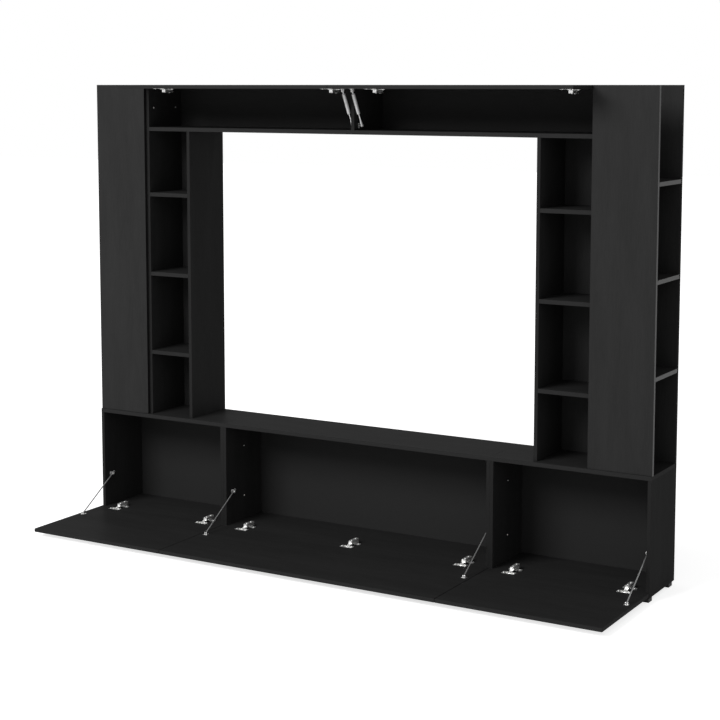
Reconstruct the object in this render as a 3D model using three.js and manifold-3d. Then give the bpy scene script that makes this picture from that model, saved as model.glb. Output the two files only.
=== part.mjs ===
// Entertainment center in black wood-grain laminate: three low cabinets with drop flaps,
// a shelf column on each end and a bridge cabinet with two lift flaps.
// Millimetres, +Z up, +Y toward the wall. Every flap stands open.
import * as THREE from 'three';
import { mergeVertices, toCreasedNormals } from 'three/addons/utils/BufferGeometryUtils.js';
import Module from 'manifold-3d';

const wasm = await Module();
wasm.setup();

// Overall sizes
const total_width = 2800;
const side_cabinet_width = 716;
const base_height = 500;
const base_depth = 295;
const column_height = 1556;
const column_width = 526;
const column_setback = 6;

// Boards
const upright_thickness = 16;
const deck_thickness = 18;
const flap_thickness = 16;
const back_sheet_thickness = 4;
const back_sheet_inset = 2;
const edge_break = 0.5;

// Feet
const foot_height = 18;
const foot_width = 30;
const foot_depth = 38;
const foot_side_inset = 3;
const foot_rear_inset = 18;

// Columns and bridge cabinet
const blind_width = 279;
const end_bay_clear = 288;
const bridge_clear = 178;
const front_shelf_count = 3;
const side_shelf_count = 3;

// Reveals round the closed flaps
const drop_bottom_reveal = 5;
const drop_top_reveal = 1;
const drop_side_reveal = 1.5;
const lift_bottom_reveal = 6;
const lift_side_reveal = 2;
const lift_middle_reveal = 1;

// Concealed hinge, seen from its pin: cup, pin and flange sit in the flap
const pin_depth = 8.5;
const pin_edge = 8;
const swing_clearance = 0.33;
const pin_diameter = 3;
const pin_play = 0.3;
const pin_seat = 1;
const cup_diameter = 35;
const cup_depth = 12.5;
const cup_edge = 3;
const flange_width = 58;
const flange_depth = 26;
const flange_thickness = 1.2;
const flange_offset = 5;

// Concealed hinge: arm and mounting plate stay on the carcass
const eye_wall = 1.4;
const strap_thickness = 3;
const strap_width = 14;
const arm_clearance = 1;
const arm_height = 16;
const arm_width = 18;
const arm_length = 60;
const arm_knee = 3;
const arm_wall = 2;
const saddle_height = 9;
const arm_foot_setback = 22;
const plate_setback = 27;
const plate_depth = 20;
const plate_width = 60;
const plate_thickness = 2.5;
const plate_corner = 5;

// Places of the hinges along the flaps
const outer_hinge_inset = 97;
const inner_hinge_inset = 107;
const center_hinge_inset = 120;
const lift_outer_hinge_inset = 101;
const lift_inner_hinge_inset = 110;

// Flap stays: a rod pinned to the flap slides past a round guide on the cabinet side
const stay_rod_diameter = 5.4;
const stay_eye_diameter = 8.4;
const stay_eye_width = 6;
const stay_wall_offset = 11;
const stay_guide_depth = 44;
const stay_guide_height = 173;
const stay_guide_diameter = 17;
const stay_guide_reach = 5;
const stay_stud_lift = 6.5;
const stay_overshoot = 15;
const stay_stop_diameter = 11;
const stay_stop_length = 5;

// Gas struts beside the bridge divider
const strut_offset = 16;
const strut_low_depth = 40;
const strut_low_height = 20;
const strut_stud_lift = 9.5;
const strut_stud_reach = 30;
const strut_eye_diameter = 12;
const strut_eye_width = 8;
const strut_neck_diameter = 7;
const strut_neck_length = 14;
const strut_body_diameter = 15;
const strut_body_length = 98;
const strut_body_edge = 1;
const strut_bore_depth = 80;
const strut_rod_diameter = 5;
const strut_rod_play = 0.6;
const strut_rod_hold = 18;
const strut_socket_diameter = 14;
const strut_socket_neck = 7;
const strut_socket_length = 26;
const strut_socket_rings = 5;
const socket_sweep = (2 * Math.PI) / 3;

// Stud brackets on flaps and divider
const stud_diameter = 3;
const stud_gap = 0.5;
const lug_thickness = 1.6;
const lug_width = 8;
const bracket_length = 22;
const bracket_margin = 4;
const bracket_thickness = 1.2;

// Cuts run this far past the faces that they open
const overrun = 2;
// Fused pieces reach this far into each other
const bite = 1;
const bore_segments = 14;
const round_segments = 8;
const crease_angle = Math.PI / 6;

// Places that follow from the sizes
const half_width = total_width / 2;
const center_half_width = half_width - side_cabinet_width;
const carcass_depth = base_depth - back_sheet_thickness;
const column_top = base_height + column_height;
const column_front = column_setback + flap_thickness;
const column_back_front = carcass_depth - upright_thickness;
const column_inner = half_width - column_width;
const column_inner_rear = column_inner + upright_thickness;
const blind_inner = half_width - blind_width;
const bridge_height = bridge_clear + 2 * deck_thickness;
const bridge_bottom = column_top - bridge_height;
const bridge_rear = column_back_front - back_sheet_thickness;
const pin_front = Math.hypot(pin_depth, pin_edge) + swing_clearance;
const drop_pin_height = drop_bottom_reveal + pin_edge;
const drop_length = base_height - drop_bottom_reveal - drop_top_reveal;
const drop_reach = pin_front + drop_length - pin_edge;
const lift_pin_depth = column_front - pin_front;
const lift_pin_height = column_top - pin_edge;
const lift_length = bridge_height - lift_bottom_reveal;

// Inner faces of the two column partitions, which also close the bridge cabinet
const partition_inner = { left: blind_inner - upright_thickness, right: blind_inner };
const signs = { left: -1, right: 1 };

// Materials
const looks = {
  front: { color: '#363534', roughness: 0.5, metalness: 0 },
  carcass: { color: '#242322', roughness: 0.6, metalness: 0 },
  sheet: { color: '#1c1b1b', roughness: 0.7, metalness: 0 },
  nickel: { color: '#b9b8b4', roughness: 0.3, metalness: 0.9 },
  strut: { color: '#a9aaab', roughness: 0.35, metalness: 0.6 },
};

const X = new THREE.Vector3(1, 0, 0);
const Y = new THREE.Vector3(0, 1, 0);
const Z = new THREE.Vector3(0, 0, 1);
const frames = {
  x: new THREE.Matrix4().makeBasis(Y, Z, X),
  y: new THREE.Matrix4().makeBasis(Z, X, Y),
  z: new THREE.Matrix4(),
};

// A closed geometry as a solid that can be joined and cut
function solid(geometry) {
  geometry.deleteAttribute('normal');
  geometry.deleteAttribute('uv');
  const merged = mergeVertices(geometry);
  const vertProperties = new Float32Array(merged.attributes.position.array);
  const triVerts = new Uint32Array(merged.index.array);
  return new wasm.Manifold(new wasm.Mesh({ numProp: 3, vertProperties, triVerts }));
}

function join(first, ...others) {
  return others.reduce((sum, other) => sum.add(other), first);
}

function cut(first, ...others) {
  return others.reduce((rest, other) => rest.subtract(other), first);
}

function mesh(name, body, look) {
  const { vertProperties, triVerts } = body.getMesh();
  const geometry = new THREE.BufferGeometry();
  geometry.setAttribute('position', new THREE.BufferAttribute(new Float32Array(vertProperties), 3));
  geometry.setIndex(new THREE.BufferAttribute(new Uint32Array(triVerts), 1));
  const creased = toCreasedNormals(geometry, crease_angle);
  const piece = new THREE.Mesh(creased, new THREE.MeshStandardMaterial(looks[look]));
  piece.name = name;
  return piece;
}

// Outlines lie in (Y, Z) for axis x, in (Z, X) for axis y and in (X, Y) for axis z
function prism(outline, axis, [from, to], edge = 0, segments = round_segments) {
  const geometry = new THREE.ExtrudeGeometry(outline, {
    depth: to - from - 2 * edge,
    bevelEnabled: edge > 0,
    bevelThickness: edge,
    bevelSize: edge,
    bevelOffset: -edge,
    bevelSegments: 1,
    curveSegments: segments,
  });
  geometry.translate(0, 0, from + edge);
  geometry.applyMatrix4(frames[axis]);
  return solid(geometry);
}

function rectangle([a0, a1], [b0, b1]) {
  const outline = new THREE.Shape();
  outline.moveTo(a0, b0);
  outline.lineTo(a1, b0);
  outline.lineTo(a1, b1);
  outline.lineTo(a0, b1);
  return outline;
}

function disc(a, b, radius) {
  return new THREE.Shape().absarc(a, b, radius, 0, 2 * Math.PI);
}

function polygon(points) {
  return new THREE.Shape(points.map(([a, b]) => new THREE.Vector2(a, b)));
}

// A flat board whose two broad faces have broken edges
function board(axis, x, y, z) {
  const [a, b, c] = { x: [y, z, x], y: [z, x, y], z: [x, y, z] }[axis];
  return prism(rectangle(a, b), axis, c, edge_break);
}

// A round piece turned about the Y axis
function turned(profile, segments = 2 * round_segments) {
  const points = profile.map(([radius, y]) => new THREE.Vector2(radius, y));
  return solid(new THREE.LatheGeometry(points, segments));
}

function around(center, size) {
  return [center - size / 2, center + size / 2];
}

function span(side, near, far) {
  return signs[side] < 0 ? [-far, -near] : [near, far];
}

// Pinned bracket on a flap: base plate, two lugs and the stud through them
function clevis(x, y, lift, eye_width) {
  const stud_height = pin_depth + lift;
  const inside = eye_width / 2 + stud_gap;
  const outside = inside + lug_thickness;
  const lug = new THREE.Shape();
  lug.moveTo(y - lug_width / 2, pin_depth - bite);
  lug.lineTo(y + lug_width / 2, pin_depth - bite);
  lug.lineTo(y + lug_width / 2, stud_height);
  lug.absarc(y, stud_height, lug_width / 2, 0, Math.PI);
  const plate_x = around(x, 2 * (outside + bracket_margin));
  const plate_z = [pin_depth - bite, pin_depth + bracket_thickness];
  return join(
    prism(rectangle(plate_x, around(y, bracket_length)), 'z', plate_z),
    prism(lug, 'x', [x + inside, x + outside]),
    prism(lug, 'x', [x - outside, x - inside]),
    prism(disc(y, stud_height, stud_diameter / 2), 'x', [x - outside, x + outside]),
  );
}

// Flap seen from its pin axis, inner face up, with a cup, a flange and a pin for each hinge
function flap([x0, x1], length, hinges, brackets) {
  const cup_radius = cup_diameter / 2;
  const cup_center = pin_edge - cup_edge - cup_radius;
  const pin_reach = Math.sqrt(cup_radius ** 2 - cup_center ** 2) + pin_seat;
  const flange_y = around(cup_center - flange_offset, flange_depth);
  let body = board('z', [x0, x1], [pin_edge - length, pin_edge], [pin_depth - flap_thickness, pin_depth]);
  for (const x of hinges) {
    const flange = prism(
      rectangle(around(x, flange_width), flange_y), 'z', [pin_depth - bite, pin_depth + flange_thickness],
    );
    const cup = prism(
      disc(x, cup_center, cup_radius), 'z', [pin_depth - cup_depth, pin_depth + overrun], 0, bore_segments,
    );
    const pin = prism(disc(0, 0, pin_diameter / 2), 'x', [x - pin_reach, x + pin_reach]);
    body = join(cut(join(body, flange), cup), pin);
  }
  return join(body, ...brackets);
}

// Hinge arm seen from the pin axis: eye and strap, a channel open below, and the winged
// mounting plate with its saddle
function hinge_arm(board_height) {
  const hole = pin_diameter / 2 + pin_play;
  const eye = hole + eye_wall;
  const half_strap = strap_thickness / 2;
  const run = pin_depth + flange_thickness + arm_clearance;
  const top = run + arm_height;
  const foot_y = [pin_front + arm_foot_setback, pin_front + arm_length];
  const strap = polygon([
    [-half_strap, 0],
    [half_strap, 0],
    [half_strap, run],
    [pin_front + bite, run],
    [pin_front + bite, run + strap_thickness],
    [half_strap, run + strap_thickness],
    [-half_strap, run + half_strap],
  ]);
  const body = polygon([
    [pin_front, run],
    [foot_y[0], run],
    [foot_y[0], board_height],
    [foot_y[1], board_height],
    [foot_y[1], top],
    [pin_front + arm_knee, top],
    [pin_front, top - half_strap],
  ]);
  const channel = polygon([
    [pin_front + arm_wall, board_height - overrun],
    [foot_y[1] + overrun, board_height - overrun],
    [foot_y[1] + overrun, top - arm_wall],
    [pin_front + arm_knee + arm_wall, top - arm_wall],
    [pin_front + arm_wall, top - half_strap - arm_wall],
  ]);
  const plate_y = [pin_front + plate_setback, pin_front + plate_setback + plate_depth];
  const saddle = rectangle(plate_y, [board_height, board_height + saddle_height]);
  const shell = cut(
    prism(body, 'x', around(0, arm_width), edge_break),
    prism(channel, 'x', around(0, arm_width - 2 * arm_wall)),
  );
  const solid_arm = join(
    shell,
    prism(strap, 'x', around(0, strap_width)),
    prism(disc(0, 0, eye), 'x', around(0, strap_width)),
    prism(saddle, 'x', around(0, arm_width - arm_wall)),
    prism(plate_outline(plate_width, plate_y), 'z', [board_height, board_height + plate_thickness]),
  );
  return cut(solid_arm, prism(disc(0, 0, hole), 'x', around(0, strap_width + overrun)));
}

// Winged plate with cut corners
function plate_outline(width, [y0, y1]) {
  const half = width / 2;
  return polygon([
    [-half, y0 + plate_corner],
    [-half + plate_corner, y0],
    [half - plate_corner, y0],
    [half, y0 + plate_corner],
    [half, y1 - plate_corner],
    [half - plate_corner, y1],
    [-half + plate_corner, y1],
    [-half, y1 - plate_corner],
  ]);
}

// Stay places seen from the drop flap's pin: the stud lies as far from the pin as the guide
const guide_y = stay_guide_depth + pin_front;
const guide_z = stay_guide_height - drop_pin_height;
const stay_stud_z = pin_depth + stay_stud_lift;
const stay_stud_y = -Math.sqrt(guide_y ** 2 + guide_z ** 2 - stay_stud_z ** 2);
const stay_angle = Math.atan2(guide_z - stay_stud_z, guide_y - stay_stud_y);
const stay_open_length = Math.hypot(guide_z - stay_stud_z, guide_y - stay_stud_y);

// Rod of a stay, along +Y from its stud
function stay_rod() {
  const radius = stay_rod_diameter / 2;
  const hole = stud_diameter / 2 + pin_play;
  const end = stay_open_length + stay_overshoot;
  const stop = stay_stop_diameter / 2;
  const rod = turned([
    [0, hole + bite],
    [radius, hole + bite],
    [radius, end - stay_stop_length],
    [stop, end - stay_stop_length],
    [stop, end - edge_break],
    [stop - edge_break, end],
    [0, end],
  ]);
  const eye = prism(disc(0, 0, stay_eye_diameter / 2), 'x', around(0, stay_eye_width));
  const bore = prism(disc(0, 0, hole), 'x', around(0, stay_eye_width + overrun));
  return cut(join(rod, eye), bore);
}

// Strut places in the bridge: lower stud on the divider, upper stud on the lift flap
const strut_low_y = column_front + strut_low_depth;
const strut_low_z = bridge_bottom + deck_thickness + strut_low_height;
const strut_high_y = lift_pin_depth - strut_stud_reach;
const strut_high_z = lift_pin_height - pin_depth - strut_stud_lift;
const strut_span = Math.hypot(strut_high_y - strut_low_y, strut_high_z - strut_low_z);
const strut_angle = Math.atan2(strut_high_z - strut_low_z, strut_high_y - strut_low_y);
const strut_body_end = strut_neck_length + strut_body_length;

// Cylinder of a strut, along +Y from its upper stud
function strut_cylinder() {
  const radius = strut_body_diameter / 2;
  const hole = stud_diameter / 2 + pin_play;
  const bore = strut_rod_diameter / 2 + strut_rod_play;
  const body = turned([
    [0, hole + bite],
    [strut_neck_diameter / 2, hole + bite],
    [strut_neck_diameter / 2, strut_neck_length],
    [radius - strut_body_edge, strut_neck_length],
    [radius, strut_neck_length + strut_body_edge],
    [radius, strut_body_end - strut_body_edge],
    [radius - strut_body_edge, strut_body_end],
    [bore, strut_body_end],
    [bore, strut_body_end - strut_bore_depth],
    [0, strut_body_end - strut_bore_depth],
  ]);
  const eye = prism(disc(0, 0, strut_eye_diameter / 2), 'x', around(0, strut_eye_width));
  return cut(join(body, eye), prism(disc(0, 0, hole), 'x', around(0, strut_eye_width + overrun)));
}

// Rod of a strut, along +Y from its pear-shaped lower socket into the cylinder
function strut_rod() {
  const radius = strut_rod_diameter / 2;
  const ball = strut_socket_diameter / 2;
  const end = strut_span - strut_body_end + strut_rod_hold;
  const profile = [[0, -ball]];
  for (let i = 1; i <= strut_socket_rings; i += 1) {
    const angle = (socket_sweep * i) / strut_socket_rings - Math.PI / 2;
    profile.push([ball * Math.cos(angle), ball * Math.sin(angle)]);
  }
  profile.push([strut_socket_neck / 2, strut_socket_length]);
  profile.push([radius, strut_socket_length]);
  profile.push([radius, end - edge_break]);
  profile.push([radius - edge_break, end]);
  profile.push([0, end]);
  return turned(profile);
}

// Low cabinet between x = 0 and its width, with a top, a bottom on four feet, two sides and a back
function cabinet(name, width, stays) {
  const group = new THREE.Group();
  const inner = [upright_thickness, width - upright_thickness];
  const depth = [0, carcass_depth];
  const under_top = base_height - deck_thickness;
  const left_foot = [foot_side_inset, foot_side_inset + foot_width];
  const right_foot = [width - left_foot[1], width - left_foot[0]];
  const feet = [
    { x: left_foot, fused: [inner[0], left_foot[1]] },
    { x: right_foot, fused: [right_foot[0], inner[1]] },
  ];
  let bottom = board('z', inner, depth, [0, deck_thickness]);
  for (const { x, fused } of feet) {
    for (const y of [0, carcass_depth - foot_rear_inset - foot_depth]) {
      const foot_y = [y, y + foot_depth];
      const block = prism(rectangle(x, foot_y), 'z', [-foot_height, 0]);
      bottom = join(bottom, prism(rectangle(fused, foot_y), 'z', [-bite, bite]), block);
    }
  }
  group.add(mesh(`${name}_cabinet_top`, board('z', [0, width], depth, [under_top, base_height]), 'carcass'));
  group.add(mesh(`${name}_cabinet_bottom`, bottom, 'carcass'));
  const sides = { left: [0, inner[0]], right: [inner[1], width] };
  const guide = disc(stay_guide_depth, stay_guide_height, stay_guide_diameter / 2);
  const guide_reach = {
    left: [inner[0] - bite, inner[0] + stay_guide_reach],
    right: [inner[1] - stay_guide_reach, inner[1] + bite],
  };
  for (const side of ['left', 'right']) {
    let body = board('x', sides[side], depth, [0, under_top]);
    if (stays[side]) {
      body = join(body, prism(guide, 'x', guide_reach[side], edge_break));
    }
    group.add(mesh(`${name}_cabinet_${side}_side`, body, 'carcass'));
  }
  const sheet_x = [back_sheet_inset, width - back_sheet_inset];
  const sheet_z = [back_sheet_inset, base_height - back_sheet_inset];
  const sheet = board('y', sheet_x, [carcass_depth, base_depth], sheet_z);
  group.add(mesh(`${name}_cabinet_back`, sheet, 'sheet'));
  return group;
}

// Shelf column on one end: blind front, inner wall, partition with side shelves, back and shelves
function column(side) {
  const group = new THREE.Group();
  const height = [base_height, column_top];
  const inside_y = [column_front, column_back_front];
  const wall_x = span(side, column_inner, column_inner_rear);
  const partition_x = span(side, partition_inner[side], partition_inner[side] + upright_thickness);
  const shelf_x = span(side, column_inner_rear, partition_inner[side]);
  const side_shelf_x = span(side, partition_inner[side] + bite, half_width);
  const blind = board('y', span(side, blind_inner, half_width), [column_setback, column_front], height);
  const wall = board('x', wall_x, [column_front, carcass_depth], [base_height, bridge_bottom]);
  const back_x = span(side, column_inner_rear, half_width);
  const back = board('y', back_x, [column_back_front, carcass_depth], height);
  let partition = board('x', partition_x, inside_y, height);
  for (let i = 1; i <= side_shelf_count; i += 1) {
    const middle = base_height + (column_height * i) / (side_shelf_count + 1);
    partition = join(partition, board('z', side_shelf_x, inside_y, around(middle, deck_thickness)));
  }
  group.add(mesh(`${side}_column_front_panel`, blind, 'front'));
  group.add(mesh(`${side}_column_inner_wall`, wall, 'carcass'));
  group.add(mesh(`${side}_column_partition`, partition, 'carcass'));
  group.add(mesh(`${side}_column_back`, back, 'carcass'));
  front_shelf_heights().forEach((z, i) => {
    const shelf = board('z', shelf_x, inside_y, [z, z + deck_thickness]);
    group.add(mesh(`${side}_column_front_shelf_${i + 1}`, shelf, 'carcass'));
  });
  return group;
}

// Undersides of the front shelves: equal end bays, and the rest shared out between them
function front_shelf_heights() {
  const clear = bridge_bottom - base_height - front_shelf_count * deck_thickness;
  const middle_clear = (clear - 2 * end_bay_clear) / (front_shelf_count - 1);
  const heights = [];
  for (let i = 0; i < front_shelf_count; i += 1) {
    heights.push(base_height + end_bay_clear + i * (deck_thickness + middle_clear));
  }
  return heights;
}

// Bridge cabinet between the partitions, open at the front under the lift flaps
function bridge() {
  const group = new THREE.Group();
  const x = [-partition_inner.left, partition_inner.right];
  const y = [column_front, bridge_rear];
  const inside_z = [bridge_bottom + deck_thickness, column_top - deck_thickness];
  const sheet_x = [x[0] + back_sheet_inset, x[1] - back_sheet_inset];
  const sheet_z = [bridge_bottom + back_sheet_inset, column_top - back_sheet_inset];
  const sheet_y = [bridge_rear, bridge_rear + back_sheet_thickness];
  let divider = board('x', around(0, upright_thickness), y, inside_z);
  for (const sign of [-1, 1]) {
    divider = join(divider, strut_bracket(sign));
  }
  group.add(mesh('bridge_bottom', board('z', x, y, [bridge_bottom, inside_z[0]]), 'carcass'));
  group.add(mesh('bridge_top', board('z', x, y, [inside_z[1], column_top]), 'carcass'));
  group.add(mesh('bridge_divider', divider, 'carcass'));
  group.add(mesh('bridge_back', board('y', sheet_x, sheet_y, sheet_z), 'sheet'));
  return group;
}

// Plate and stud on the divider for the lower end of a strut, which stops short of the socket
function strut_bracket(sign) {
  const face = upright_thickness / 2;
  const tip = face + strut_offset - strut_socket_diameter / 2 - stud_gap;
  const inward = [face - bite, face + bracket_thickness].map((x) => sign * x).sort((a, b) => a - b);
  const stud_x = [face, tip].map((x) => sign * x).sort((a, b) => a - b);
  const plate_y = around(strut_low_y, lug_width + bracket_margin);
  return join(
    prism(rectangle(plate_y, around(strut_low_z, bracket_length)), 'x', inward),
    prism(disc(strut_low_y, strut_low_z, stud_diameter / 2), 'x', stud_x),
  );
}

const model = new THREE.Group();
model.name = 'entertainment_center';
model.position.set(0, (drop_reach - base_depth) / 2, foot_height);

// Low cabinets, each with its drop flap, hinge arms and stays, from its left end
const cabinets = [
  {
    name: 'left',
    from: -half_width,
    width: side_cabinet_width,
    hinges: [outer_hinge_inset, side_cabinet_width - inner_hinge_inset],
    stays: { left: 'left_stay_rod' },
  },
  {
    name: 'center',
    from: -center_half_width,
    width: 2 * center_half_width,
    hinges: [center_hinge_inset, center_half_width, 2 * center_half_width - center_hinge_inset],
    stays: { left: 'center_left_stay_rod', right: 'center_right_stay_rod' },
  },
  {
    name: 'right',
    from: center_half_width,
    width: side_cabinet_width,
    hinges: [inner_hinge_inset, side_cabinet_width - outer_hinge_inset],
    stays: { right: 'right_stay_rod' },
  },
];

for (const { name, from, width, hinges, stays } of cabinets) {
  const group = cabinet(name, width, stays);
  const rod_x = {
    left: upright_thickness + stay_wall_offset,
    right: width - upright_thickness - stay_wall_offset,
  };
  const stay_sides = Object.keys(stays);
  const clevises = stay_sides.map((side) => (
    clevis(rod_x[side], stay_stud_y, stay_stud_lift, stay_eye_width)
  ));
  const flap_x = [drop_side_reveal, width - drop_side_reveal];
  const door = mesh(`${name}_drop_flap`, flap(flap_x, drop_length, hinges, clevises), 'front');
  door.position.set(0, -pin_front, drop_pin_height);
  group.add(door);
  hinges.forEach((x, i) => {
    const body = hinge_arm(deck_thickness - drop_pin_height);
    const arm = mesh(`${name}_drop_hinge_arm_${i + 1}`, body, 'nickel');
    arm.position.set(x, -pin_front, drop_pin_height);
    group.add(arm);
  });
  for (const side of stay_sides) {
    const rod = mesh(stays[side], stay_rod(), 'nickel');
    rod.position.set(rod_x[side], stay_stud_y - pin_front, stay_stud_z + drop_pin_height);
    rod.rotation.x = stay_angle;
    group.add(rod);
  }
  group.position.x = from;
  model.add(group);
}

model.add(column('left'), column('right'), bridge());

// Lift flaps: the same flap and hinge turned upside down, with one strut each at the divider
for (const side of ['left', 'right']) {
  const outer = blind_inner - lift_side_reveal;
  const turn_x = (x) => -signs[side] * x;
  const flap_x = [turn_x(lift_middle_reveal), turn_x(outer)].sort((a, b) => a - b);
  const hinges = [outer - lift_outer_hinge_inset, lift_inner_hinge_inset];
  const strut_x = upright_thickness / 2 + strut_offset;
  const bracket = clevis(turn_x(strut_x), -strut_stud_reach, strut_stud_lift, strut_eye_width);
  const door = mesh(`${side}_lift_flap`, flap(flap_x, lift_length, hinges.map(turn_x), [bracket]), 'front');
  door.position.set(0, lift_pin_depth, lift_pin_height);
  door.rotation.y = Math.PI;
  model.add(door);
  hinges.forEach((x, i) => {
    const arm = mesh(`${side}_lift_hinge_arm_${i + 1}`, hinge_arm(deck_thickness - pin_edge), 'nickel');
    arm.position.set(signs[side] * x, lift_pin_depth, lift_pin_height);
    arm.rotation.y = Math.PI;
    model.add(arm);
  });
  const cylinder = mesh(`${side}_strut_cylinder`, strut_cylinder(), 'strut');
  cylinder.position.set(signs[side] * strut_x, strut_high_y, strut_high_z);
  cylinder.rotation.x = strut_angle + Math.PI;
  const rod = mesh(`${side}_strut_rod`, strut_rod(), 'nickel');
  rod.position.set(signs[side] * strut_x, strut_low_y, strut_low_z);
  rod.rotation.x = strut_angle;
  model.add(cylinder, rod);
}

export default model;
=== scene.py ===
import math

import bmesh
import bpy
from mathutils import Matrix, Vector


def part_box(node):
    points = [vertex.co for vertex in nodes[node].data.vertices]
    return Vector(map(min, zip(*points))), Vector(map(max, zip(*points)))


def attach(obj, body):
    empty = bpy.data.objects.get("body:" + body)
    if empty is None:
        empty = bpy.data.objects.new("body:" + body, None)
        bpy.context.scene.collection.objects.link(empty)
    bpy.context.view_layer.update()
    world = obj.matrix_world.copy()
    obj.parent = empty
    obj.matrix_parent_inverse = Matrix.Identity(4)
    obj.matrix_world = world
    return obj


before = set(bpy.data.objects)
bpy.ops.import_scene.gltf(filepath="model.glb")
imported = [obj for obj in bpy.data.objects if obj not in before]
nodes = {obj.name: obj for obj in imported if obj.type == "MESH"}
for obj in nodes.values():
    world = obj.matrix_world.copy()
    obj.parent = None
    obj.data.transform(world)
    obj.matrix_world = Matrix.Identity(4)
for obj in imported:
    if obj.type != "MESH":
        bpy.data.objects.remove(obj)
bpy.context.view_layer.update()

# Axes, directions and units: a millimetre in metres, and a right angle in degrees
X, Y, Z = 0, 1, 2
DOWN, UP, REAR = (0, 0, -1), (0, 0, 1), (0, 1, 0)
MM = 0.001
RIGHT_ANGLE = 90

# Boards, as in the CAD model
FLAP_THICKNESS = 16 * MM
DECK_THICKNESS = 18 * MM
UPRIGHT_THICKNESS = 16 * MM
FOOT_HEIGHT = 18 * MM
COLUMN_FRONT = 22 * MM
SHELF_LEVELS = (1, 2, 3)
SIDE_BAYS = 4

# Flap hinges, as in the CAD model
PIN_DEPTH = 8.5 * MM
PIN_EDGE = 8 * MM
FLAP_CLEARANCE = 0.33 * MM
PIN_FRONT = math.hypot(PIN_DEPTH, PIN_EDGE) + FLAP_CLEARANCE
DROP_REVEAL = 5 * MM
FLANGE_THICKNESS = 1.2 * MM
FLANGE_TOP = PIN_DEPTH + FLANGE_THICKNESS
PLATE_MIDDLE = 37 * MM
PLATE_THICKNESS = 2.5 * MM
ARM_TOP = 26.7 * MM

# Flap stays and gas struts, as in the CAD model
BRACKET_THICKNESS = 1.2 * MM
BRACKET_TOP = PIN_DEPTH + BRACKET_THICKNESS
STAY_EYE_RADIUS = 4.2 * MM
STAY_GUIDE_DEPTH = 44 * MM
STAY_GUIDE_HEIGHT = 173 * MM
STAY_GUIDE_RADIUS = 8.5 * MM
STAY_GUIDE_REACH = 5 * MM
STRUT_SIDE = 24 * MM
STRUT_REACH = 30 * MM
STRUT_STUD_DROP = 9.5 * MM
STRUT_DROP = PIN_DEPTH + STRUT_STUD_DROP
STRUT_LOW_DEPTH = 40 * MM
STRUT_LOW_HEIGHT = 20 * MM
STRUT_BODY_END = 112 * MM
DIVIDER_PLATE = 1.2 * MM

# Cap over each stay's guide, and the two posts that hold it
STAY_CAP_NEAR = 14.6 * MM
STAY_CAP_FAR = 16.6 * MM
STAY_CAP_ROUND = 0.5 * MM
STAY_POST_RADIUS = 1.5 * MM
STAY_POST_SINK = 0.5 * MM
STAY_POST_OFFSET = 6.3 * MM
STAY_POST_TILT = math.radians(10.3)

# Seal at the end of each strut's cylinder
SEAL_BORE = 2.8 * MM
SEAL_RADIUS = 6.2 * MM
SEAL_TOP_RADIUS = 5.4 * MM
SEAL_SHOULDER = 0.9 * MM
SEAL_HEIGHT = 1.6 * MM

# Screw heads: radius and height, and their form in shares of these
SCREW_SIZE = (3.4 * MM, 1.8 * MM)
SMALL_SCREW_SIZE = (2.5 * MM, 1.3 * MM)
DOME = ((0, 0), (1, 0), (1, 0.35), (0.86, 0.75), (0.55, 1), (0, 1))
CROSS_LENGTH = 0.62
CROSS_WIDTH = 0.16
CROSS_TAPER = 0.7
CROSS_BOTTOM = 0.35
CROSS_TOP = 1.5
CROSS_QUARTERS = 4

# Places of the screws on hardware and boards. Each head in a piece is turned TWIST_STEP degrees
# farther than the one before it
FLANGE_SCREW_SIDE = 23.5 * MM
FLANGE_SCREW_BACK = 19 * MM
PLATE_SCREW_SIDE = 20 * MM
ARM_SCREWS = (13 * MM, 46 * MM)
BRACKET_SCREW_STEPS = (-8 * MM, 8 * MM)
BACK_SCREW_INSET = 9 * MM
BACK_SCREW_PITCH = 190 * MM
COLUMN_SCREW_MARGIN = 60 * MM
COLUMN_SCREW_PITCH = 320 * MM
BRIDGE_SCREW_DEPTHS = (59 * MM, 229 * MM)
BRIDGE_SCREW_DROP = 106 * MM
CABINET_SCREW_DEPTH = 146 * MM
CABINET_SCREW_HEIGHTS = (131 * MM, 370 * MM)
TWIST_STEP = 37

# Strip in the left column's corner
STRIP_RADIUS = 5 * MM
STRIP_STEPS = 8

# Fineness of turned pieces, and the angles from which an edge stays sharp
TURN_STEPS = 24
SMOOTH_ANGLE = math.radians(40)
STAMPED_SMOOTH_ANGLE = math.radians(35)

# Limits for telling a node's faces, which are triangles, apart. BROAD_AREA, in square metres, is
# less than either triangle of a side shelf's broad face has. SQUARE_ON is the least cosine between
# an axis and the normal of a face that looks along it. ROD_LIMIT is a little more than the radius
# of a strut's rod
SURFACE_SLACK = 0.2 * MM
INSIDE_SLACK = 1 * MM
BROAD_AREA = 0.03
SQUARE_ON = 0.99
ROD_LIMIT = 2.6 * MM

# Laminate: fine streaks drawn out along the grain, mixed with broad bands
STREAKS = {"scale": 22.0, "detail": 8.0, "roughness": 0.62, "distortion": 0.15}
STREAK_STRETCH = 26.0
STREAK_STOPS = (0.32, 0.68)
BANDS = {"scale": 2.2, "detail": 4.0, "roughness": 0.5, "distortion": 0.6}
BAND_STRETCH = 7.0
BAND_STOPS = (0.35, 0.65)
BAND_SHARE = 0.35
LAMINATE_ROUGHNESS = (0.75, 0.6)
COAT_ROUGHNESS = 0.42
GRAIN_BUMP = {"strength": 0.25, "distance": 0.4 * MM}

# Metal: smears that change its shade and its roughness a little
SMEARS = {"scale": 90.0, "detail": 3.0}
SMEAR_STOPS = (0.3, 0.7)
SMEAR_SHADE = 0.88
SMEAR_ROUGHNESS = (-0.05, 0.08)

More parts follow.
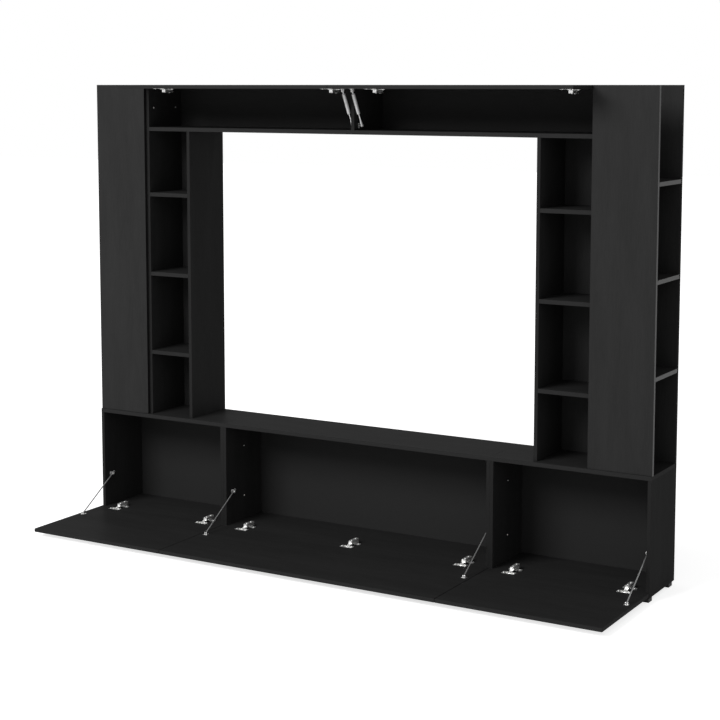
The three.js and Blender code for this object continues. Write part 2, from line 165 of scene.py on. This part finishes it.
# Plastic, rubber and painted board: fine pebbles
PEBBLE_DETAIL = 3.0
PEBBLE_STOPS = (0.35, 0.65)
PEBBLE_BUMP = {"strength": 0.2, "distance": 0.2 * MM}
PLAIN_SPECULAR = 0.2

WHITE = (1, 1, 1, 1)

# Floor, whose glow grows from GLOW_START to GLOW_END metres away from the unit's middle
FLOOR_SIZE = 60
FLOOR_COLOR = (0.7, 0.7, 0.7, 1)
FLOOR_ROUGHNESS = 0.9
NEAR_GLOW, FAR_GLOW = 0.7, 1.0
GLOW_START, GLOW_END = 0.5, 5.0

# Light
BACKGROUND_LIGHT = 1.0
FRONT_LIGHT, REAR_LIGHT = 0.6, 0.2
KEY_PLACE = (-2.4, -6.5, 5.3)
KEY_TARGET = (0, 0, 1.2)
KEY_SIZE = (4, 3)
KEY_POWER = 500

# Camera, with its sensor and lens in millimetres. It stands CAMERA_SIDE to the right of the unit's
# middle, CAMERA_DISTANCE in front of the low cabinets and CAMERA_HEIGHT above the top of the feet
CAMERA_SENSOR = 36
CAMERA_LENS = 82.7
CAMERA_SHIFT = -0.13
CAMERA_REACH = 100
CAMERA_SIDE = 3.664
CAMERA_DISTANCE = 6.174
CAMERA_HEIGHT = 2.057
CAMERA_YAW = math.radians(30.34)
CAMERA_PITCH = math.radians(6.27)


# Material nodes
def new_material(name):
    """An empty node material, with its tree and principled shader."""
    material = bpy.data.materials.new(name)
    material.use_nodes = True
    tree = material.node_tree
    tree.nodes.clear()
    output = tree.nodes.new("ShaderNodeOutputMaterial")
    shader = tree.nodes.new("ShaderNodeBsdfPrincipled")
    tree.links.new(shader.outputs["BSDF"], output.inputs["Surface"])
    return material, tree, shader


def object_coordinates(tree, scale=(1.0, 1.0, 1.0)):
    """Object coordinates stretched by scale, one factor for each axis."""
    source = tree.nodes.new("ShaderNodeTexCoord")
    mapping = tree.nodes.new("ShaderNodeMapping")
    mapping.inputs["Scale"].default_value = scale
    tree.links.new(source.outputs["Object"], mapping.inputs["Vector"])
    return mapping.outputs["Vector"]


def noise(tree, vector, scale, detail, roughness=0.5, distortion=0.0):
    """The factor output of a noise texture."""
    texture = tree.nodes.new("ShaderNodeTexNoise")
    texture.inputs["Scale"].default_value = scale
    texture.inputs["Detail"].default_value = detail
    texture.inputs["Roughness"].default_value = roughness
    texture.inputs["Distortion"].default_value = distortion
    tree.links.new(vector, texture.inputs["Vector"])
    return texture.outputs["Fac"]


def ramp(tree, factor, stops, dark, light):
    """A color ramp over factor, from dark at the first stop to light at the second."""
    node = tree.nodes.new("ShaderNodeValToRGB")
    for element, position, color in zip(node.color_ramp.elements, stops, (dark, light)):
        element.position = position
        element.color = (*color, 1.0)
    tree.links.new(factor, node.inputs["Fac"])
    return node.outputs["Color"]


def mix(tree, factor, first, second):
    """A color mix of two sockets by a number."""
    node = tree.nodes.new("ShaderNodeMix")
    node.data_type = "RGBA"
    node.inputs["Factor"].default_value = factor
    tree.links.new(first, node.inputs["A"])
    tree.links.new(second, node.inputs["B"])
    return node.outputs["Result"]


def bump(tree, shader, height, strength, distance):
    """Feeds a bump of height into the shader."""
    node = tree.nodes.new("ShaderNodeBump")
    node.inputs["Strength"].default_value = strength
    node.inputs["Distance"].default_value = distance
    tree.links.new(height, node.inputs["Height"])
    tree.links.new(node.outputs["Normal"], shader.inputs["Normal"])


def map_range(tree, factor, low, high, start=0.0, end=1.0):
    """Maps factor from start..end to low..high."""
    node = tree.nodes.new("ShaderNodeMapRange")
    node.inputs["From Min"].default_value = start
    node.inputs["From Max"].default_value = end
    node.inputs["To Min"].default_value = low
    node.inputs["To Max"].default_value = high
    tree.links.new(factor, node.inputs["Value"])
    return node.outputs["Result"]


# Materials
def gray(value):
    """A linear gray."""
    return (value, value, value)


def across_grain(grain, stretch):
    """Texture scale that is stretched on the two axes across the grain."""
    return [1.0 if axis == grain else stretch for axis in (X, Y, Z)]


def laminate(name, grain, dark, light, coat):
    """Matte black wood-grain laminate under a thin coat. grain is the axis that it runs along."""
    material, tree, shader = new_material(name)
    streaks = noise(tree, object_coordinates(tree, across_grain(grain, STREAK_STRETCH)), **STREAKS)
    bands = noise(tree, object_coordinates(tree, across_grain(grain, BAND_STRETCH)), **BANDS)
    streak_color = ramp(tree, streaks, STREAK_STOPS, gray(dark), gray(light))
    band_color = ramp(tree, bands, BAND_STOPS, gray(dark), gray(light))
    color = mix(tree, BAND_SHARE, streak_color, band_color)
    tree.links.new(color, shader.inputs["Base Color"])
    tree.links.new(map_range(tree, streaks, *LAMINATE_ROUGHNESS), shader.inputs["Roughness"])
    shader.inputs["Specular IOR Level"].default_value = 0.0
    shader.inputs["Coat Weight"].default_value = coat
    shader.inputs["Coat Roughness"].default_value = COAT_ROUGHNESS
    bump(tree, shader, streaks, **GRAIN_BUMP)
    return material


def metal(name, color, roughness, metallic):
    """Plated or painted metal with faint smears."""
    material, tree, shader = new_material(name)
    smears = noise(tree, object_coordinates(tree), **SMEARS)
    shaded = [SMEAR_SHADE * channel for channel in color]
    low, high = [roughness + change for change in SMEAR_ROUGHNESS]
    tree.links.new(ramp(tree, smears, SMEAR_STOPS, shaded, color), shader.inputs["Base Color"])
    tree.links.new(map_range(tree, smears, low, high), shader.inputs["Roughness"])
    shader.inputs["Metallic"].default_value = metallic
    return material


def plain(name, dark, light, roughness, scale):
    """Molded plastic, rubber or painted board with a fine pebbled surface."""
    material, tree, shader = new_material(name)
    pebbles = noise(tree, object_coordinates(tree), scale, PEBBLE_DETAIL)
    color = ramp(tree, pebbles, PEBBLE_STOPS, gray(dark), gray(light))
    tree.links.new(color, shader.inputs["Base Color"])
    shader.inputs["Specular IOR Level"].default_value = PLAIN_SPECULAR
    shader.inputs["Roughness"].default_value = roughness
    bump(tree, shader, pebbles, **PEBBLE_BUMP)
    return material


front_vertical = laminate("front_laminate", grain=Z, dark=0.019, light=0.028, coat=0.1)
front_flat = laminate("flap_laminate", grain=X, dark=0.016, light=0.025, coat=0.07)
carcass_vertical = laminate("carcass_laminate_upright", grain=Z, dark=0.023, light=0.033, coat=0.04)
carcass_flat = laminate("carcass_laminate_flat", grain=X, dark=0.018, light=0.026, coat=0.08)
edge_vertical = laminate("edge_band_upright", grain=Z, dark=0.015, light=0.02, coat=0.08)
edge_flat = laminate("edge_band_flat", grain=X, dark=0.018, light=0.024, coat=0.09)
edge_outer = laminate("edge_band_outer", grain=Z, dark=0.018, light=0.024, coat=0.6)
sheet_black = plain("back_sheet", dark=0.014, light=0.02, roughness=0.8, scale=900.0)
foot_plastic = plain("foot_plastic", dark=0.01, light=0.016, roughness=0.6, scale=1500.0)
seal_rubber = plain("seal_rubber", dark=0.02, light=0.03, roughness=0.6, scale=1500.0)
nickel = metal("nickel_plate", color=(0.96, 0.96, 0.95), roughness=0.32, metallic=0.8)
stay_steel = metal("stay_steel", color=gray(0.27), roughness=0.35, metallic=0.5)
strut_paint = metal("strut_enamel", color=gray(0.72), roughness=0.42, metallic=0.2)
chrome_rod = metal("rod_chrome", color=gray(0.92), roughness=0.28, metallic=0.7)


# Painting the CAD nodes. A board has a material for its broad faces, one for its edges, and one
# for the rest
BROAD, EDGE, REST = 0, 1, 2


def middle_x(name):
    low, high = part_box(name)
    return (low.x + high.x) / 2


def looks_along(face, axis):
    """Whether a face looks along the axis, one way or the other."""
    return abs(face.normal[axis]) > SQUARE_ON


def paint(name, materials, pick):
    """Gives each face of a CAD node the material whose number pick(face) returns."""
    mesh = nodes[name].data
    mesh.materials.clear()
    for material in materials:
        mesh.materials.append(material)
    for face in mesh.polygons:
        face.material_index = pick(face)


def paint_all(name, material):
    paint(name, [material], lambda face: 0)


def paint_board(name, thin, broad, edge, fused=nickel, low=None, high=None):
    """Paints a board's broad faces, its edges, and what is fused to it or sunk into it.

    thin is the axis of the board's thickness. low and high are its own faces on that axis, given
    where what is fused to it reaches farther."""
    corner_low, corner_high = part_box(name)
    if low is not None:
        corner_low[thin] = low
    if high is not None:
        corner_high[thin] = high

    def pick(face):
        spans = list(zip(face.center, corner_low, corner_high))
        outside = any(c < start - SURFACE_SLACK or c > end + SURFACE_SLACK for c, start, end in spans)
        inside = all(start + INSIDE_SLACK < c < end - INSIDE_SLACK for c, start, end in spans)
        if outside or inside:
            return REST
        return BROAD if looks_along(face, thin) else EDGE

    paint(name, [broad, edge, fused], pick)


def paint_panel(name, end):
    """Paints a blind front panel, whose outer edge lies at end, measured from the unit's middle."""

    def pick(face):
        if looks_along(face, Y):
            return BROAD
        return REST if abs(face.center.x) > end - INSIDE_SLACK else EDGE

    paint(name, [front_vertical, edge_vertical, edge_outer], pick)


def paint_partition(name, end):
    """Paints a partition and its side shelves, which reach out to end.

    Its own broad faces look along X and those of the shelves along Z."""

    def pick(face):
        if looks_along(face, X):
            return BROAD if abs(face.center.x) < end - INSIDE_SLACK else REST
        if looks_along(face, Z) and face.area > BROAD_AREA:
            return BROAD
        return EDGE

    paint(name, [carcass_vertical, edge_vertical, edge_outer], pick)


def paint_strut_rod(name):
    """Chrome on a strut's rod, and enamel on the flanks of its socket, which is wider."""
    middle = middle_x(name)
    paint(name, [chrome_rod, strut_paint], lambda face: int(abs(face.center.x - middle) > ROD_LIMIT))


for cabinet in ("left", "center", "right"):
    low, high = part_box(f"{cabinet}_cabinet_top")
    paint_board(f"{cabinet}_cabinet_top", Z, carcass_flat, edge_flat)
    paint_board(f"{cabinet}_cabinet_bottom", Z, carcass_flat, edge_flat, foot_plastic, low=FOOT_HEIGHT)
    paint_all(f"{cabinet}_cabinet_back", sheet_black)
    paint_board(
        f"{cabinet}_cabinet_left_side", X, carcass_vertical, edge_vertical,
        low=low.x, high=low.x + UPRIGHT_THICKNESS,
    )
    paint_board(
        f"{cabinet}_cabinet_right_side", X, carcass_vertical, edge_vertical,
        low=high.x - UPRIGHT_THICKNESS, high=high.x,
    )
    flap = f"{cabinet}_drop_flap"
    flap_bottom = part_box(flap)[0].z
    paint_board(flap, Z, front_flat, edge_flat, low=flap_bottom, high=flap_bottom + FLAP_THICKNESS)

for side in ("left", "right"):
    panel_end = max(abs(corner.x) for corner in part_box(f"{side}_column_front_panel"))
    paint_panel(f"{side}_column_front_panel", panel_end)
    shelf_end = max(abs(corner.x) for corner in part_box(f"{side}_column_partition"))
    paint_partition(f"{side}_column_partition", shelf_end)
    paint_board(f"{side}_column_back", Y, carcass_vertical, edge_vertical)
    paint_board(f"{side}_column_inner_wall", X, carcass_vertical, edge_vertical)
    for level in SHELF_LEVELS:
        paint_board(f"{side}_column_front_shelf_{level}", Z, carcass_flat, edge_flat)
    flap = f"{side}_lift_flap"
    flap_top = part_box(flap)[1].z
    paint_board(flap, Z, front_flat, edge_flat, low=flap_top - FLAP_THICKNESS, high=flap_top)

paint_board("bridge_bottom", Z, carcass_flat, edge_flat)
paint_board("bridge_top", Z, carcass_flat, edge_flat)
paint_all("bridge_back", sheet_black)
paint_board(
    "bridge_divider", X, carcass_vertical, edge_vertical,
    low=-UPRIGHT_THICKNESS / 2, high=UPRIGHT_THICKNESS / 2,
)

for name in nodes:
    if "hinge_arm" in name:
        paint_all(name, nickel)
    if "stay_rod" in name:
        paint_all(name, stay_steel)
    if name.endswith("strut_cylinder"):
        paint_all(name, strut_paint)
    if name.endswith("strut_rod"):
        paint_strut_rod(name)


# Meshes of the small hardware
def spun(profile, ring=False):
    """A closed solid turned about Z from a profile of (radius, height).

    The profile starts and ends on the axis or, for a ring, runs round away from it."""
    bm = bmesh.new()
    turns = [2 * math.pi * i / TURN_STEPS for i in range(TURN_STEPS)]
    rounds = []
    for radius, height in profile:
        corners = [(radius * math.cos(turn), radius * math.sin(turn), height) for turn in turns]
        if radius == 0:
            corners = [(0, 0, height)]
        rounds.append([bm.verts.new(corner) for corner in corners])
    if ring:
        rounds.append(rounds[0])
    for below, above in zip(rounds, rounds[1:]):
        for i in range(TURN_STEPS):
            j = (i + 1) % TURN_STEPS
            lower = [below[i % len(below)], below[j % len(below)]]
            upper = [above[j % len(above)], above[i % len(above)]]
            bm.faces.new(list(dict.fromkeys(lower + upper)))
    bmesh.ops.recalc_face_normals(bm, faces=bm.faces)
    return bm


def to_mesh(name, bm):
    """Empties bm into a new mesh."""
    data = bpy.data.meshes.new(name)
    bm.to_mesh(data)
    bm.free()
    return data


def finish_mesh(name, bm, material, smooth_angle=SMOOTH_ANGLE):
    """A smooth-shaded object of bm, sharp at edges over smooth_angle."""
    data = to_mesh(name, bm)
    data.materials.append(material)
    obj = bpy.data.objects.new(name, data)
    bpy.context.scene.collection.objects.link(obj)
    for face in data.polygons:
        face.use_smooth = True
    data.set_sharp_from_angle(angle=smooth_angle)
    return obj


def cross_outline(radius):
    """The corners of a cross, counterclockwise, for a head of this radius."""
    long = CROSS_LENGTH * radius
    wide = CROSS_WIDTH * radius
    quarter = [(wide, wide), (wide, long), (-wide, long)]
    outline = []
    for _ in range(CROSS_QUARTERS):
        outline += quarter
        quarter = [(-y, x) for x, y in quarter]
    return outline


def crossed_head(name, radius, height):
    """Mesh of a domed screw head with a cross recess cut into it."""
    dome = [(share * radius, level * height) for share, level in DOME]
    head = finish_mesh(name + "_head", spun(dome), nickel)
    outline = cross_outline(radius)
    bm = bmesh.new()
    bottom = [bm.verts.new((CROSS_TAPER * x, CROSS_TAPER * y, CROSS_BOTTOM * height)) for x, y in outline]
    top = [bm.verts.new((x, y, CROSS_TOP * height)) for x, y in outline]
    bm.faces.new(bottom)
    bm.faces.new(top)
    for i in range(len(outline)):
        j = (i + 1) % len(outline)
        bm.faces.new((bottom[i], bottom[j], top[j], top[i]))
    bmesh.ops.recalc_face_normals(bm, faces=bm.faces)
    cutter = finish_mesh(name + "_cutter", bm, nickel)
    cut = head.modifiers.new("recess", "BOOLEAN")
    cut.operation = "DIFFERENCE"
    cut.solver = "EXACT"
    cut.object = cutter
    bpy.context.view_layer.update()
    evaluated = head.evaluated_get(bpy.context.evaluated_depsgraph_get())
    result = bpy.data.meshes.new_from_object(evaluated)
    bpy.data.objects.remove(head)
    bpy.data.objects.remove(cutter)
    return result


def stand_on(point, normal):
    """The transform that puts the origin on a point and Z along a normal."""
    turn = Vector(normal).to_track_quat("Z", "Y").to_matrix().to_4x4()
    return Matrix.Translation(Vector(point)) @ turn


def stamped(name, template, places, body):
    """A nickel piece with a copy of the template at each (point, outward normal), riding on body."""
    bm = bmesh.new()
    for index, (point, normal) in enumerate(places):
        twist = Matrix.Rotation(math.radians(TWIST_STEP * index), 4, "Z")
        copy = template.copy()
        copy.transform(stand_on(point, normal) @ twist)
        bm.from_mesh(copy)
        bpy.data.meshes.remove(copy)
    obj = finish_mesh(name, bm, nickel, STAMPED_SMOOTH_ANGLE)
    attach(obj, body)


# Screws, stay guides and strut seals
base_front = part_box("center_cabinet_top")[0].y
column_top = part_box("bridge_top")[1].z
deck_top = FOOT_HEIGHT + DECK_THICKNESS
drop_pin = Vector((0, base_front - PIN_FRONT, FOOT_HEIGHT + DROP_REVEAL + PIN_EDGE))
lift_pin = Vector((0, base_front + COLUMN_FRONT - PIN_FRONT, column_top - PIN_EDGE))

screw = crossed_head("screw", *SCREW_SIZE)
small_screw = crossed_head("small_screw", *SMALL_SCREW_SIZE)


def hinge_places(flap):
    """Where along the unit a flap's hinges sit."""
    return [middle_x(name) for name in sorted(nodes) if name.startswith(flap + "_hinge_arm")]


plate_screws = []
arm_screws = []
for flap in ("left_drop", "center_drop", "right_drop", "left_lift", "right_lift"):
    lift = flap.endswith("lift")
    pin, out, normal = (lift_pin, -1, DOWN) if lift else (drop_pin, 1, UP)
    front = pin.y + PIN_FRONT
    board_z = column_top - DECK_THICKNESS if lift else deck_top
    flap_screws = []
    for x in hinge_places(flap):
        for sign in (-1, 1):
            flange = (x + sign * FLANGE_SCREW_SIDE, pin.y - FLANGE_SCREW_BACK, pin.z + out * FLANGE_TOP)
            plate = (x + sign * PLATE_SCREW_SIDE, front + PLATE_MIDDLE, board_z + out * PLATE_THICKNESS)
            flap_screws.append((flange, normal))
            plate_screws.append((plate, normal))
        for depth in ARM_SCREWS:
            arm_screws.append(((x, front + depth, pin.z + out * ARM_TOP), normal))
    stamped(f"{flap}_flap_screws", screw, flap_screws, f"{flap}_flap")
stamped("mounting_plate_screws", screw, plate_screws, "carcass")
stamped("hinge_arm_screws", screw, arm_screws, "carcass")

# Each stay's flap, the cabinet side that carries its guide, and which way is inward there
stays = {
    "left_stay_rod": ("left_drop_flap", "left_cabinet_left_side", 1),
    "center_left_stay_rod": ("center_drop_flap", "center_cabinet_left_side", 1),
    "center_right_stay_rod": ("center_drop_flap", "center_cabinet_right_side", -1),
    "right_stay_rod": ("right_drop_flap", "right_cabinet_right_side", -1),
}
cap_height = STAY_CAP_FAR - STAY_CAP_NEAR
cap_flat = STAY_GUIDE_RADIUS - STAY_CAP_ROUND
guide_cap = to_mesh("guide_cap", spun([
    (0, 0),
    (cap_flat, 0),
    (STAY_GUIDE_RADIUS, STAY_CAP_ROUND),
    (STAY_GUIDE_RADIUS, cap_height - STAY_CAP_ROUND),
    (cap_flat, cap_height),
    (0, cap_height),
]))
post_height = STAY_CAP_NEAR - STAY_GUIDE_REACH + STAY_POST_SINK
guide_post = to_mesh("guide_post", spun([
    (0, 0),
    (STAY_POST_RADIUS, 0),
    (STAY_POST_RADIUS, post_height),
    (0, post_height),
]))
across_rod = Vector((0, -math.sin(STAY_POST_TILT), math.cos(STAY_POST_TILT)))
guide_caps = []
guide_posts = []
guide_screws = []
for rod, (flap, side, inward) in stays.items():
    x = middle_x(rod)
    stud_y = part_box(rod)[0].y + STAY_EYE_RADIUS
    bracket_z = drop_pin.z + BRACKET_TOP
    bracket_screws = [((x, stud_y + step, bracket_z), UP) for step in BRACKET_SCREW_STEPS]
    stamped(rod.replace("rod", "bracket_screws"), small_screw, bracket_screws, flap)
    low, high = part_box(side)
    wall = low.x + UPRIGHT_THICKNESS if inward > 0 else high.x - UPRIGHT_THICKNESS
    middle = Vector((wall, base_front + STAY_GUIDE_DEPTH, FOOT_HEIGHT + STAY_GUIDE_HEIGHT))
    out = Vector((inward, 0, 0))
    guide_caps.append((middle + out * STAY_CAP_NEAR, out))
    guide_screws.append((middle + out * STAY_CAP_FAR, out))
    for sign in (-1, 1):
        guide_posts.append((middle + out * STAY_GUIDE_REACH + sign * STAY_POST_OFFSET * across_rod, out))
stamped("stay_guide_caps", guide_cap, guide_caps, "carcass")
stamped("stay_guide_posts", guide_post, guide_posts, "carcass")
stamped("stay_guide_screws", screw, guide_screws, "carcass")

strut_low_y = base_front + COLUMN_FRONT + STRUT_LOW_DEPTH
strut_low_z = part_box("bridge_bottom")[1].z + STRUT_LOW_HEIGHT
strut_low = Vector((0, strut_low_y, strut_low_z))
strut_high = Vector((0, lift_pin.y - STRUT_REACH, lift_pin.z - STRUT_DROP))
strut_line = (strut_low - strut_high).normalized()
plate_face = UPRIGHT_THICKNESS / 2 + DIVIDER_PLATE
seal_section = [
    (SEAL_BORE, 0),
    (SEAL_RADIUS, 0),
    (SEAL_RADIUS, SEAL_SHOULDER),
    (SEAL_TOP_RADIUS, SEAL_HEIGHT),
    (SEAL_BORE, SEAL_HEIGHT),
]
divider_screws = []
for side, sign in (("left", -1), ("right", 1)):
    x = sign * STRUT_SIDE
    bracket_screws = []
    for step in BRACKET_SCREW_STEPS:
        bracket_screws.append(((x, strut_high.y + step, lift_pin.z - BRACKET_TOP), DOWN))
        divider_screws.append(((sign * plate_face, strut_low.y, strut_low.z + step), (sign, 0, 0)))
    stamped(f"{side}_strut_bracket_screws", small_screw, bracket_screws, f"{side}_lift_flap")
    seal = finish_mesh(f"{side}_strut_seal", spun(seal_section, ring=True), seal_rubber)
    cylinder_end = Vector((x, 0, 0)) + strut_high + strut_line * STRUT_BODY_END
    seal.data.transform(stand_on(cylinder_end, strut_line))
    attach(seal, f"{side}_strut_cylinder")
stamped("divider_plate_screws", small_screw, divider_screws, "carcass")


def spread(start, end, pitch):
    """Even steps from start to end, about pitch apart."""
    count = max(1, round((end - start) / pitch))
    return [start + (end - start) * i / count for i in range(count + 1)]


# Back screws go into the rear edges of the bridge's boards and of the partitions
back_screws = []
low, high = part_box("bridge_back")
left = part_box("left_column_back")[1].x + BACK_SCREW_INSET
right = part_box("right_column_back")[0].x - BACK_SCREW_INSET
for x in spread(left, right, BACK_SCREW_PITCH):
    for z in (low.z + BACK_SCREW_INSET, high.z - BACK_SCREW_INSET):
        back_screws.append(((x, high.y, z), REAR))
for side, sign in (("left", -1), ("right", 1)):
    low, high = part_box(f"{side}_column_back")
    inner = min(abs(corner.x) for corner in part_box(f"{side}_column_partition"))
    x = sign * (inner + UPRIGHT_THICKNESS / 2)
    for z in spread(low.z + COLUMN_SCREW_MARGIN, high.z - COLUMN_SCREW_MARGIN, COLUMN_SCREW_PITCH):
        back_screws.append(((x, high.y, z), REAR))
stamped("back_screws", small_screw, back_screws, "carcass")

# Connector screws go through the partitions, at the ends of the bridge, and through cabinet sides
connector_screws = []
bridge_screw_z = column_top - BRIDGE_SCREW_DROP
for side, sign in (("left", -1), ("right", 1)):
    low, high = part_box(f"{side}_column_partition")
    inner = high.x if sign < 0 else low.x
    for depth in BRIDGE_SCREW_DEPTHS:
        connector_screws.append(((inner, base_front + depth, bridge_screw_z), (-sign, 0, 0)))
for side in ("center_cabinet_left_side", "right_cabinet_left_side"):
    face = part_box(side)[0].x + UPRIGHT_THICKNESS
    for height in CABINET_SCREW_HEIGHTS:
        connector_screws.append(((face, base_front + CABINET_SCREW_DEPTH, FOOT_HEIGHT + height), (1, 0, 0)))
stamped("connector_screws", screw, connector_screws, "carcass")


# Quarter-round strips where the left column's front panel and partition meet edge to edge, one
# in each side bay
def quarter_round(bm, corner, bottom, top):
    """A strip up an inside corner whose room is on the left and at the back."""
    section = [(0, 0)]
    for step in range(STRIP_STEPS + 1):
        turn = math.radians(RIGHT_ANGLE * step / STRIP_STEPS)
        section.append((-STRIP_RADIUS * math.cos(turn), STRIP_RADIUS * math.sin(turn)))
    ends = [[bm.verts.new((corner.x + x, corner.y + y, z)) for x, y in section] for z in (bottom, top)]
    for end in ends:
        bm.faces.new(end)
    for i in range(len(section)):
        j = (i + 1) % len(section)
        bm.faces.new((ends[0][i], ends[0][j], ends[1][j], ends[1][i]))


panel_low, panel_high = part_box("left_column_front_panel")
bay_step = (column_top - panel_low.z) / SIDE_BAYS
strips = bmesh.new()
for bay in range(SIDE_BAYS):
    bottom = panel_low.z + bay_step * bay + (DECK_THICKNESS / 2 if bay > 0 else 0)
    top = panel_low.z + bay_step * (bay + 1) - (DECK_THICKNESS / 2 if bay < SIDE_BAYS - 1 else 0)
    quarter_round(strips, panel_high, bottom, top)
bmesh.ops.recalc_face_normals(strips, faces=strips.faces)
corner_strips = finish_mesh("left_column_corner_strips", strips, edge_vertical)
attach(corner_strips, "carcass")


# Floor, light and camera
def seen_share(tree):
    """1 for camera, glossy and transmission rays, which see the white background, and 0 for the rest."""
    path = tree.nodes.new("ShaderNodeLightPath")
    total = path.outputs["Is Camera Ray"]
    for ray in ("Is Glossy Ray", "Is Transmission Ray"):
        add = tree.nodes.new("ShaderNodeMath")
        add.operation = "ADD"
        add.use_clamp = True
        tree.links.new(total, add.inputs[0])
        tree.links.new(path.outputs[ray], add.inputs[1])
        total = add.outputs[0]
    return total


def add_floor():
    """Pale floor that fades to the background's white away from the object."""
    bpy.ops.mesh.primitive_plane_add(size=FLOOR_SIZE, location=(0, 0, 0))
    floor = bpy.context.object
    floor.name = "floor"
    material, tree, shader = new_material("floor_white")
    shader.inputs["Base Color"].default_value = FLOOR_COLOR
    shader.inputs["Roughness"].default_value = FLOOR_ROUGHNESS
    shader.inputs["Specular IOR Level"].default_value = 0.0
    shader.inputs["Emission Color"].default_value = WHITE
    length = tree.nodes.new("ShaderNodeVectorMath")
    length.operation = "LENGTH"
    tree.links.new(object_coordinates(tree), length.inputs[0])
    glow = map_range(tree, length.outputs["Value"], NEAR_GLOW, FAR_GLOW, GLOW_START, GLOW_END)
    strength = tree.nodes.new("ShaderNodeMath")
    strength.operation = "MULTIPLY"
    tree.links.new(glow, strength.inputs[0])
    tree.links.new(seen_share(tree), strength.inputs[1])
    tree.links.new(strength.outputs[0], shader.inputs["Emission Strength"])
    floor.data.materials.append(material)


def set_world():
    """White behind the object, and a soft light on it that is stronger from the front."""
    world = bpy.data.worlds.new("studio")
    bpy.context.scene.world = world
    world.use_nodes = True
    tree = world.node_tree
    tree.nodes.clear()
    output = tree.nodes.new("ShaderNodeOutputWorld")
    seen = tree.nodes.new("ShaderNodeBackground")
    lit = tree.nodes.new("ShaderNodeBackground")
    seen.inputs["Color"].default_value = WHITE
    seen.inputs["Strength"].default_value = BACKGROUND_LIGHT
    lit.inputs["Color"].default_value = WHITE
    direction = tree.nodes.new("ShaderNodeTexCoord")
    parts = tree.nodes.new("ShaderNodeSeparateXYZ")
    tree.links.new(direction.outputs["Generated"], parts.inputs["Vector"])
    strength = map_range(tree, parts.outputs["Y"], FRONT_LIGHT, REAR_LIGHT, start=-1.0)
    tree.links.new(strength, lit.inputs["Strength"])
    blend = tree.nodes.new("ShaderNodeMixShader")
    tree.links.new(seen_share(tree), blend.inputs["Fac"])
    tree.links.new(lit.outputs["Background"], blend.inputs[1])
    tree.links.new(seen.outputs["Background"], blend.inputs[2])
    tree.links.new(blend.outputs["Shader"], output.inputs["Surface"])


def add_key_light():
    """A large soft light from the upper left, in front of the object."""
    data = bpy.data.lights.new("key", "AREA")
    data.shape = "RECTANGLE"
    data.size, data.size_y = KEY_SIZE
    data.energy = KEY_POWER
    light = bpy.data.objects.new("key", data)
    light.location = KEY_PLACE
    light.rotation_euler = (Vector(KEY_TARGET) - Vector(KEY_PLACE)).to_track_quat("-Z", "Y").to_euler()
    bpy.context.scene.collection.objects.link(light)


def add_camera():
    """The photograph's viewpoint, to the right and level with the top of the unit."""
    data = bpy.data.cameras.new("camera")
    data.sensor_width = CAMERA_SENSOR
    data.lens = CAMERA_LENS
    data.shift_y = CAMERA_SHIFT
    data.clip_end = CAMERA_REACH
    camera = bpy.data.objects.new("camera", data)
    camera.location = (CAMERA_SIDE, base_front - CAMERA_DISTANCE, CAMERA_HEIGHT + FOOT_HEIGHT)
    camera.rotation_euler = (math.radians(RIGHT_ANGLE) - CAMERA_PITCH, 0, CAMERA_YAW)
    bpy.context.scene.collection.objects.link(camera)
    bpy.context.scene.camera = camera


add_floor()
set_world()
add_key_light()
add_camera()
bpy.context.scene.view_settings.view_transform = "Standard"
